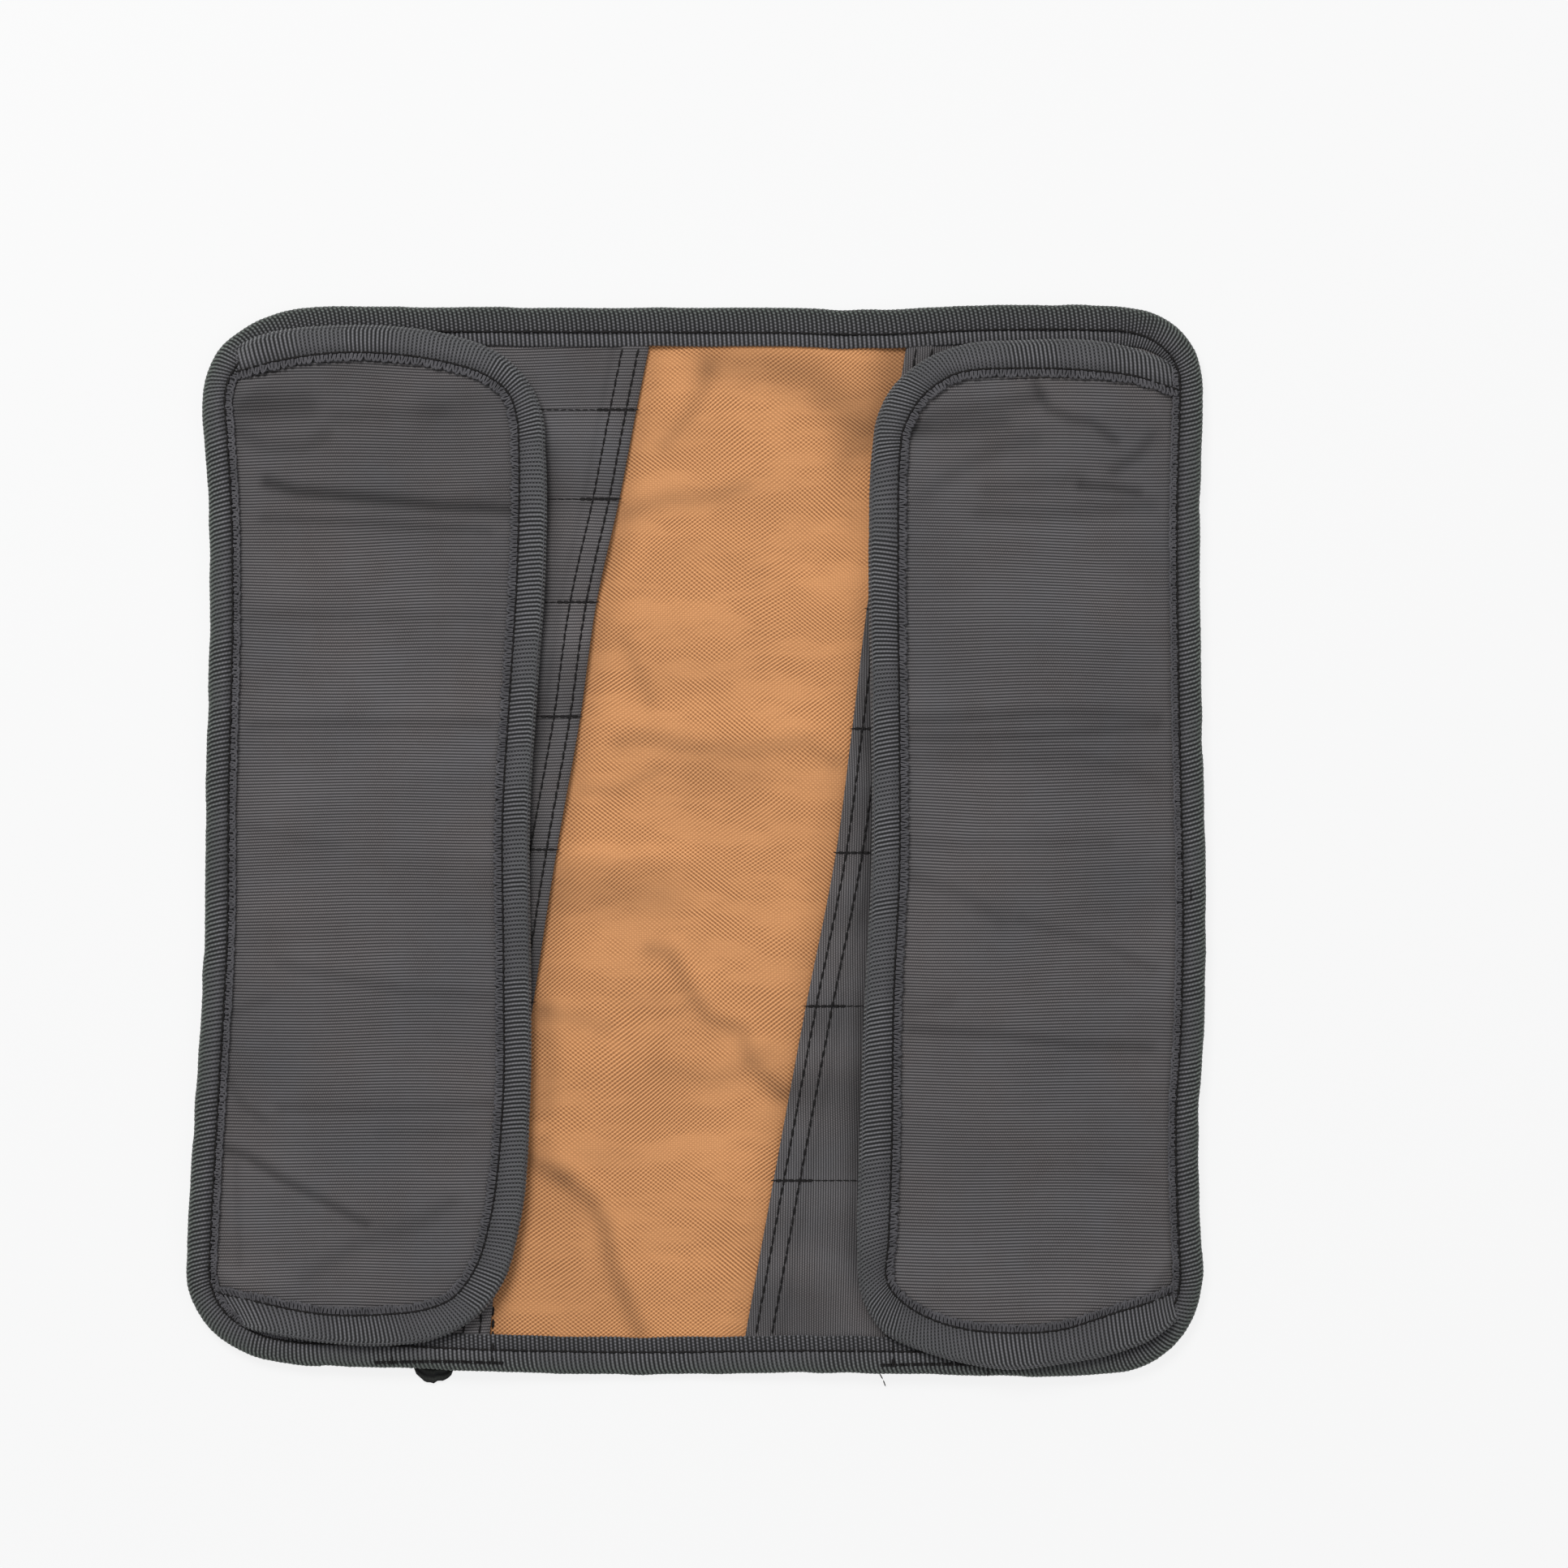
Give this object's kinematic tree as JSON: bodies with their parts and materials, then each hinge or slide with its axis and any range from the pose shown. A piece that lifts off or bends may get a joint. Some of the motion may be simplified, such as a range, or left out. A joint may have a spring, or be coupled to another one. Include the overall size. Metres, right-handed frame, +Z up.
{
  "type": "tool roll",
  "caption": "Tool roll lying open, side flaps folded in over two facing rows of slanted pockets, webbing bound edges, straps on the back.",
  "frame": {"origin": "middle of the bounding box, on the surface the roll lies on", "axes": "+Z up from the surface, +Y towards the end of the roll without strap ends, +X towards the right flap"},
  "size_m": [0.3495, 0.37, 0.0101],
  "materials": {
    "tan_cloth": "matt tan oxford cloth with a coarse basket weave",
    "grey_cloth": "matt dark grey cloth with fine ribs",
    "grey_tape": "ribbed dark grey binding tape with a looped selvedge",
    "black_webbing": "matt black webbing"
  },
  "bodies": {
    "root": {"base_panel": "tan_cloth", "pocket_panel_left": "grey_cloth", "pocket_panel_right": "grey_cloth", "flap_left": "grey_cloth", "flap_right": "grey_cloth", "flap_binding_left": "grey_tape", "flap_binding_right": "grey_tape", "body_binding": "grey_tape", "strap_left": "black_webbing", "strap_right": "black_webbing"}
  },
  "joints": []
}
